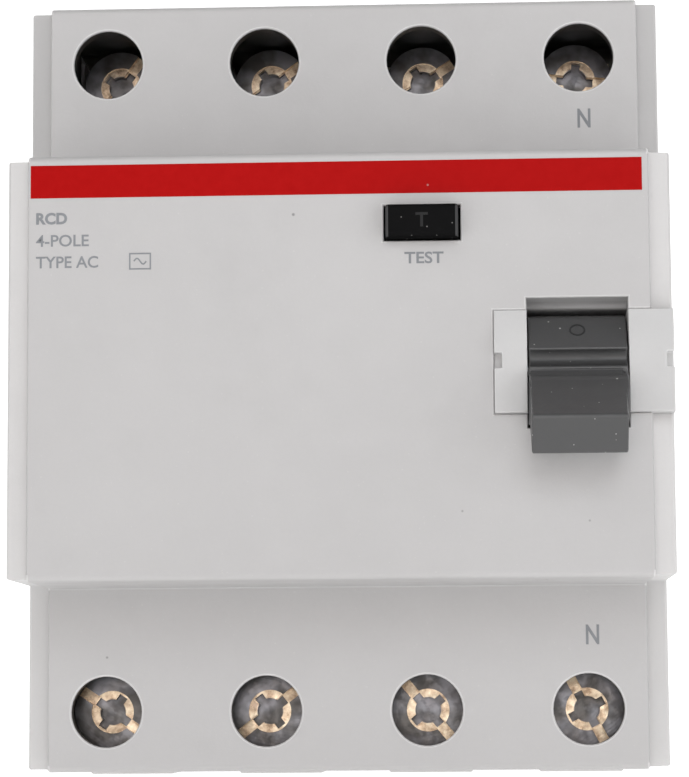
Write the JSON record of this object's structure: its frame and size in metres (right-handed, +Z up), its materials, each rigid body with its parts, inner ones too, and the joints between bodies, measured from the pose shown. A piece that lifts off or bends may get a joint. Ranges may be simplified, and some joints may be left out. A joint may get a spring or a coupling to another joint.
{
  "type": "residual current device",
  "caption": "Multi-pole residual current device for a 35 mm rail: stepped light grey housing, dark toggle, black test button, cage terminals with combination screws at both ends.",
  "frame": {"origin": "centre of the rail seat face, at the rail centre height and the middle of the width", "axes": "+X to the right seen from the front, +Y away from the user into the rail, +Z up"},
  "size_m": [0.07, 0.0747, 0.0864],
  "materials": {
    "housing_plastic": "fine matt moulded thermoplastic, light grey",
    "toggle_plastic": "satin dark grey thermoplastic",
    "button_plastic": "satin black thermoplastic",
    "clip_plastic": "black glass-filled polyamide",
    "carrier_plastic": "dark thermoset",
    "zinc_steel": "bright zinc plated",
    "spring_steel": "drawn spring wire",
    "terminal_steel": "yellow chromate on dark burnished steel",
    "cage_steel": "zinc plated pressed steel",
    "contact_copper": "tinned copper strip with silver contact pads",
    "contact_brass": "rolled brass spring strip",
    "lead_insulation": "flexible PVC insulation",
    "core_coating": "epoxy coated tape-wound core",
    "enamelled_wire": "enamelled copper wire",
    "board_laminate": "epoxy laminate with solder mask",
    "relay_case": "moulded polyester case",
    "resistor_ceramic": "lacquered carbon film resistor"
  },
  "bodies": {
    "root": {"base_housing": "housing_plastic", "inner_walls": "housing_plastic", "front_cover": "housing_plastic", "mechanism_frame": "housing_plastic", "cover_screws": "zinc_steel", "din_clip_spring_left": "spring_steel", "din_clip_spring_right": "spring_steel", "toggle_pin": "zinc_steel", "toggle_spring": "spring_steel", "line_busbar_1": "contact_copper", "line_busbar_2": "contact_copper", "line_busbar_3": "contact_copper", "line_busbar_4": "contact_copper", "load_busbar_1": "contact_copper", "load_busbar_2": "contact_copper", "load_busbar_3": "contact_copper", "load_busbar_4": "contact_copper", "flexible_lead_1": "lead_insulation", "flexible_lead_2": "lead_insulation", "flexible_lead_3": "lead_insulation", "flexible_lead_4": "lead_insulation", "toroid_core": "core_coating", "secondary_winding": "enamelled_wire", "matching_board": "board_laminate", "trip_relay": "relay_case", "trip_lever_pin": "zinc_steel", "test_button_spring": "spring_steel", "test_contact": "contact_brass", "test_resistor": "resistor_ceramic"},
    "toggle": {"toggle": "toggle_plastic", "toggle_link_pin": "zinc_steel"},
    "drive_link": {"drive_link": "zinc_steel"},
    "contact_shaft": {"contact_shaft": "carrier_plastic", "shaft_link_pin": "zinc_steel", "contact_springs": "spring_steel", "moving_contact_1": "contact_copper", "moving_contact_2": "contact_copper", "moving_contact_3": "contact_copper", "moving_contact_4": "contact_copper"},
    "din_clip_left": {"din_clip_left": "clip_plastic"},
    "din_clip_right": {"din_clip_right": "clip_plastic"},
    "relay_plunger": {"relay_plunger": "zinc_steel"},
    "trip_lever": {"trip_lever": "carrier_plastic"},
    "test_button": {"test_button": "button_plastic"},
    "line_screw_1": {"line_screw_1": "terminal_steel"},
    "line_cage_1": {"line_cage_1": "cage_steel"},
    "line_screw_2": {"line_screw_2": "terminal_steel"},
    "line_cage_2": {"line_cage_2": "cage_steel"},
    "line_screw_3": {"line_screw_3": "terminal_steel"},
    "line_cage_3": {"line_cage_3": "cage_steel"},
    "line_screw_4": {"line_screw_4": "terminal_steel"},
    "line_cage_4": {"line_cage_4": "cage_steel"},
    "load_screw_1": {"load_screw_1": "terminal_steel"},
    "load_cage_1": {"load_cage_1": "cage_steel"},
    "load_screw_2": {"load_screw_2": "terminal_steel"},
    "load_cage_2": {"load_cage_2": "cage_steel"},
    "load_screw_3": {"load_screw_3": "terminal_steel"},
    "load_cage_3": {"load_cage_3": "cage_steel"},
    "load_screw_4": {"load_screw_4": "terminal_steel"},
    "load_cage_4": {"load_cage_4": "cage_steel"}
  },
  "joints": [
    {"name": "toggle_hinge", "type": "hinge", "parent": "root", "child": "toggle", "pos_m": [0.02502, -0.05565, -0.0005], "axis": [-1, 0, 0], "range_deg": [0, 72], "deforming": ["toggle_spring"]},
    {"name": "link_pivot", "type": "hinge", "parent": "toggle", "child": "drive_link", "pos_m": [0.0221, -0.05332, -0.00423], "axis": [-1, 0, 0], "range_deg": [-76.5, 0]},
    {"name": "contact_shaft_hinge", "type": "hinge", "parent": "root", "child": "contact_shaft", "pos_m": [0, -0.023, 0.013], "axis": [-1, 0, 0], "range_deg": [0, 24.1], "deforming": ["flexible_lead_1", "flexible_lead_2", "flexible_lead_3", "flexible_lead_4"]},
    {"name": "test_button_slide", "type": "slide", "parent": "root", "child": "test_button", "axis": [0, 1, 0], "range_m": [0, 0.0018], "stiffness_N_per_m": 400, "springref_m": -0.001, "deforming": ["test_button_spring"]},
    {"name": "din_clip_left_slide", "type": "slide", "parent": "root", "child": "din_clip_left", "axis": [0, 0, -1], "range_m": [0, 0.0045], "stiffness_N_per_m": 900, "springref_m": -0.002, "deforming": ["din_clip_spring_left"]},
    {"name": "din_clip_right_slide", "type": "slide", "parent": "root", "child": "din_clip_right", "axis": [0, 0, -1], "range_m": [0, 0.0045], "stiffness_N_per_m": 900, "springref_m": -0.002, "deforming": ["din_clip_spring_right"]},
    {"name": "relay_plunger_slide", "type": "slide", "parent": "root", "child": "relay_plunger", "axis": [0, 0, 1], "range_m": [0, 0.0016]},
    {"name": "trip_lever_hinge", "type": "hinge", "parent": "root", "child": "trip_lever", "pos_m": [0.0126, -0.042, 0.0035], "axis": [1, 0, 0], "range_deg": [0, 23]},
    {"name": "line_screw_1_turn", "type": "hinge", "parent": "root", "child": "line_screw_1", "pos_m": [-0.02625, -0.03, 0.036], "axis": [0, 1, 0], "range_deg": [0, 2160]},
    {"name": "line_cage_1_lift", "type": "slide", "parent": "root", "child": "line_cage_1", "axis": [0, -1, 0], "range_m": [0, 0.0048]},
    {"name": "line_screw_2_turn", "type": "hinge", "parent": "root", "child": "line_screw_2", "pos_m": [-0.00875, -0.03, 0.036], "axis": [0, 1, 0], "range_deg": [0, 2160]},
    {"name": "line_cage_2_lift", "type": "slide", "parent": "root", "child": "line_cage_2", "axis": [0, -1, 0], "range_m": [0, 0.0048]},
    {"name": "line_screw_3_turn", "type": "hinge", "parent": "root", "child": "line_screw_3", "pos_m": [0.00875, -0.03, 0.036], "axis": [0, 1, 0], "range_deg": [0, 2160]},
    {"name": "line_cage_3_lift", "type": "slide", "parent": "root", "child": "line_cage_3", "axis": [0, -1, 0], "range_m": [0, 0.0048]},
    {"name": "line_screw_4_turn", "type": "hinge", "parent": "root", "child": "line_screw_4", "pos_m": [0.02625, -0.03, 0.036], "axis": [0, 1, 0], "range_deg": [0, 2160]},
    {"name": "line_cage_4_lift", "type": "slide", "parent": "root", "child": "line_cage_4", "axis": [0, -1, 0], "range_m": [0, 0.0048]},
    {"name": "load_screw_1_turn", "type": "hinge", "parent": "root", "child": "load_screw_1", "pos_m": [-0.02625, -0.03, -0.036], "axis": [0, 1, 0], "range_deg": [0, 2160]},
    {"name": "load_cage_1_lift", "type": "slide", "parent": "root", "child": "load_cage_1", "axis": [0, -1, 0], "range_m": [0, 0.0048]},
    {"name": "load_screw_2_turn", "type": "hinge", "parent": "root", "child": "load_screw_2", "pos_m": [-0.00875, -0.03, -0.036], "axis": [0, 1, 0], "range_deg": [0, 2160]},
    {"name": "load_cage_2_lift", "type": "slide", "parent": "root", "child": "load_cage_2", "axis": [0, -1, 0], "range_m": [0, 0.0048]},
    {"name": "load_screw_3_turn", "type": "hinge", "parent": "root", "child": "load_screw_3", "pos_m": [0.00875, -0.03, -0.036], "axis": [0, 1, 0], "range_deg": [0, 2160]},
    {"name": "load_cage_3_lift", "type": "slide", "parent": "root", "child": "load_cage_3", "axis": [0, -1, 0], "range_m": [0, 0.0048]},
    {"name": "load_screw_4_turn", "type": "hinge", "parent": "root", "child": "load_screw_4", "pos_m": [0.02625, -0.03, -0.036], "axis": [0, 1, 0], "range_deg": [0, 2160]},
    {"name": "load_cage_4_lift", "type": "slide", "parent": "root", "child": "load_cage_4", "axis": [0, -1, 0], "range_m": [0, 0.0048]}
  ],
  "couplings": [
    {"joint": "link_pivot", "follows": "toggle_hinge", "ratio": -1.0568},
    {"joint": "contact_shaft_hinge", "follows": "toggle_hinge", "ratio": 0.33333},
    {"joint": "trip_lever_hinge", "follows": "relay_plunger_slide", "rad_per_m": 250},
    {"joint": "line_screw_1_turn", "follows": "line_cage_1_lift", "rad_per_m": 7854},
    {"joint": "line_screw_2_turn", "follows": "line_cage_2_lift", "rad_per_m": 7854},
    {"joint": "line_screw_3_turn", "follows": "line_cage_3_lift", "rad_per_m": 7854},
    {"joint": "line_screw_4_turn", "follows": "line_cage_4_lift", "rad_per_m": 7854},
    {"joint": "load_screw_1_turn", "follows": "load_cage_1_lift", "rad_per_m": 7854},
    {"joint": "load_screw_2_turn", "follows": "load_cage_2_lift", "rad_per_m": 7854},
    {"joint": "load_screw_3_turn", "follows": "load_cage_3_lift", "rad_per_m": 7854},
    {"joint": "load_screw_4_turn", "follows": "load_cage_4_lift", "rad_per_m": 7854}
  ]
}
